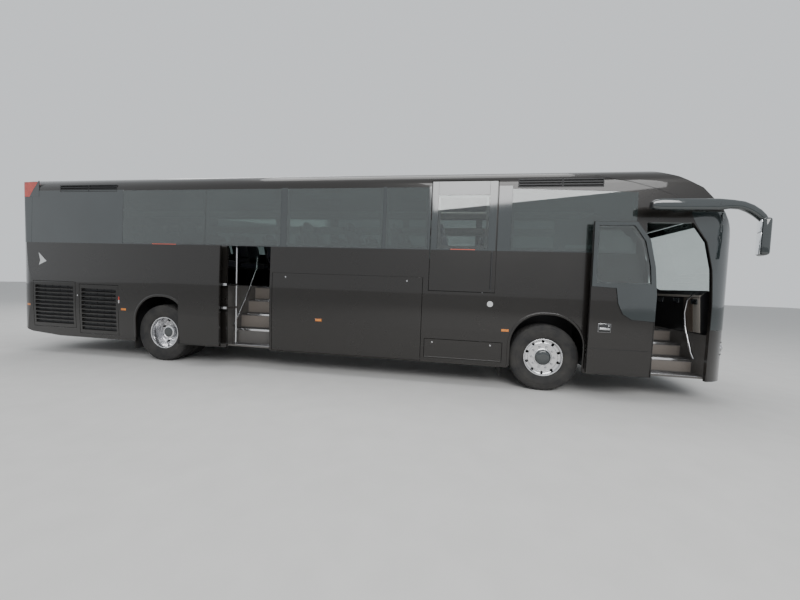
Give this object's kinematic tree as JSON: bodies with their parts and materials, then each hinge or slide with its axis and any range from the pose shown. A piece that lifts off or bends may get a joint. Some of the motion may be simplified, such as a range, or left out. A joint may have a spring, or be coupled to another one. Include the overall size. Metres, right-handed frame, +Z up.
{
  "type": "coach bus",
  "caption": "Full-size touring coach with swing doors, wheelchair lift door, luggage bays, twin rear wheels, louvred engine bay and horn mirrors.",
  "frame": {"origin": "bottom centre of the vehicle's box, on the road under its middle", "axes": "+X forward, +Y to the driver's side, +Z up"},
  "size_m": [12.76, 3.165, 3.46],
  "materials": {
    "paint": "gloss metallic charcoal",
    "black_plastic": "satin moulded",
    "tinted_glass": "tinted, polished",
    "clear_lens": "clear, polished",
    "red_lens": "red lens",
    "amber_lens": "amber lens",
    "frame_steel": "satin black chassis coat",
    "engine_iron": "plain",
    "floor_cover": "ribbed floor cover",
    "wheel_aluminium": "polished",
    "tyre_rubber": "dusty black",
    "rail_metal": "pale grey powder coat",
    "rack_plastic": "pale lining",
    "seat_fabric": "woven plush",
    "steering_plastic": "satin"
  },
  "bodies": {
    "root": {"underframe": "frame_steel", "tow_sockets": "frame_steel", "cabin_floor": "floor_cover", "entry_steps": "floor_cover", "wheel_wells": "black_plastic", "front_axle": "frame_steel", "rear_axle": "frame_steel", "engine_block": "engine_iron", "right_wall": "paint", "left_wall": "paint", "roof": "paint", "front_panel": "paint", "front_bumper": "paint", "rear_panel": "paint", "windscreen": "tinted_glass", "windows": "tinted_glass", "headlamps": "clear_lens", "tail_lamps": "red_lens", "side_markers": "amber_lens", "mirrors": "black_plastic", "dashboard": "black_plastic", "seats": "seat_fabric", "luggage_racks": "rack_plastic", "handrails": "rail_metal"},
    "front_left_wheel": {"front_left_rim": "wheel_aluminium", "front_left_tyre": "tyre_rubber"},
    "front_right_wheel": {"front_right_rim": "wheel_aluminium", "front_right_tyre": "tyre_rubber"},
    "rear_left_wheels": {"rear_left_rims": "wheel_aluminium", "rear_left_tyres": "tyre_rubber"},
    "rear_right_wheels": {"rear_right_rims": "wheel_aluminium", "rear_right_tyres": "tyre_rubber"},
    "left_knuckle": {"left_knuckle": "frame_steel"},
    "right_knuckle": {"right_knuckle": "frame_steel"},
    "steering_wheel": {"steering_wheel": "steering_plastic"},
    "front_door_arm": {"front_door_arm": "rail_metal"},
    "front_door_leaf": {"front_door_leaf": "paint", "front_door_glass": "tinted_glass"},
    "mid_door_arm": {"mid_door_arm": "rail_metal"},
    "mid_door_leaf": {"mid_door_leaf": "paint"},
    "lift_door": {"lift_door": "paint", "lift_door_glass": "tinted_glass"},
    "lift_flap": {"lift_flap": "paint"},
    "right_bay_flap": {"right_bay_flap": "paint"},
    "left_bay_flap_1": {"left_bay_flap_1": "paint"},
    "left_bay_flap_2": {"left_bay_flap_2": "paint"},
    "right_rear_louvre_door": {"right_rear_louvre_door": "paint"},
    "right_front_louvre_door": {"right_front_louvre_door": "paint"},
    "left_louvre_door": {"left_louvre_door": "paint"},
    "engine_hatch": {"engine_hatch": "paint"}
  },
  "joints": [
    {"name": "left_steer", "type": "hinge", "parent": "root", "child": "left_knuckle", "pos_m": [3.67, 0.95, 0.522], "axis": [0, 0, 1], "range_deg": [-40, 40]},
    {"name": "right_steer", "type": "hinge", "parent": "root", "child": "right_knuckle", "pos_m": [3.67, -0.95, 0.522], "axis": [0, 0, 1], "range_deg": [-40, 40]},
    {"name": "steering_wheel_turn", "type": "hinge", "parent": "root", "child": "steering_wheel", "pos_m": [5.38, 0.62, 1.73], "axis": [-0.5, 0, 0.866], "range_deg": [-720, 720]},
    {"name": "front_left_wheel_spin", "type": "hinge", "parent": "left_knuckle", "child": "front_left_wheel", "pos_m": [3.67, 1.04, 0.522], "axis": [0, 1, 0], "continuous": true},
    {"name": "front_right_wheel_spin", "type": "hinge", "parent": "right_knuckle", "child": "front_right_wheel", "pos_m": [3.67, -1.04, 0.522], "axis": [0, 1, 0], "continuous": true},
    {"name": "rear_left_wheels_spin", "type": "hinge", "parent": "root", "child": "rear_left_wheels", "pos_m": [-3.05, 0.91, 0.522], "axis": [0, 1, 0], "continuous": true},
    {"name": "rear_right_wheels_spin", "type": "hinge", "parent": "root", "child": "rear_right_wheels", "pos_m": [-3.05, -0.91, 0.522], "axis": [0, 1, 0], "continuous": true},
    {"name": "front_door_swing", "type": "hinge", "parent": "root", "child": "front_door_arm", "pos_m": [5.029, -1.09014, 0.4], "axis": [0, 0, 1], "range_deg": [0, 130.36]},
    {"name": "front_door_leaf_turn", "type": "hinge", "parent": "front_door_arm", "child": "front_door_leaf", "pos_m": [4.67022, -1.338, 1.06], "axis": [0, 0, 1], "range_deg": [-130.36, 0]},
    {"name": "mid_door_swing", "type": "hinge", "parent": "root", "child": "mid_door_arm", "pos_m": [-1.656, -1.07976, 0.4], "axis": [0, 0, 1], "range_deg": [0, 132.16]},
    {"name": "mid_door_leaf_turn", "type": "hinge", "parent": "mid_door_arm", "child": "mid_door_leaf", "pos_m": [-2.05606, -1.338, 1.06], "axis": [0, 0, 1], "range_deg": [-132.16, 0]},
    {"name": "lift_door_swing", "type": "hinge", "parent": "root", "child": "lift_door", "pos_m": [2.87, -1.267, 1.5], "axis": [0, 0.0283, 0.9996], "range_deg": [0, 90]},
    {"name": "lift_flap_drop", "type": "hinge", "parent": "root", "child": "lift_flap", "pos_m": [2.42, -1.25013, 0.432], "axis": [1, 0, 0], "range_deg": [0, 90]},
    {"name": "right_bay_flap_lift", "type": "hinge", "parent": "root", "child": "right_bay_flap", "pos_m": [0.455, -1.26133, 1.7], "axis": [1, 0, 0], "range_deg": [-85, 0]},
    {"name": "left_bay_flap_1_lift", "type": "hinge", "parent": "root", "child": "left_bay_flap_1", "pos_m": [-1.0525, 1.26133, 1.7], "axis": [1, 0, 0], "range_deg": [0, 85]},
    {"name": "left_bay_flap_2_lift", "type": "hinge", "parent": "root", "child": "left_bay_flap_2", "pos_m": [1.6025, 1.26133, 1.7], "axis": [1, 0, 0], "range_deg": [0, 85]},
    {"name": "right_rear_louvre_swing", "type": "hinge", "parent": "root", "child": "right_rear_louvre_door", "pos_m": [-5.905, -1.267, 1.15], "axis": [0, 0, 1], "range_deg": [-90, 0]},
    {"name": "right_front_louvre_swing", "type": "hinge", "parent": "root", "child": "right_front_louvre_door", "pos_m": [-3.961, -1.267, 1.15], "axis": [0, 0, 1], "range_deg": [0, 90]},
    {"name": "left_louvre_swing", "type": "hinge", "parent": "root", "child": "left_louvre_door", "pos_m": [-5.905, 1.267, 1.15], "axis": [0, 0, 1], "range_deg": [0, 90]},
    {"name": "engine_hatch_lift", "type": "hinge", "parent": "root", "child": "engine_hatch", "pos_m": [-6.3419, 0, 1.78], "axis": [0, 1, 0], "range_deg": [0, 80]}
  ],
  "couplings": [
    {"joint": "right_steer", "follows": "left_steer", "ratio": 1},
    {"joint": "steering_wheel_turn", "follows": "left_steer", "ratio": 18},
    {"joint": "front_door_leaf_turn", "follows": "front_door_swing", "ratio": -1},
    {"joint": "mid_door_leaf_turn", "follows": "mid_door_swing", "ratio": -1}
  ]
}
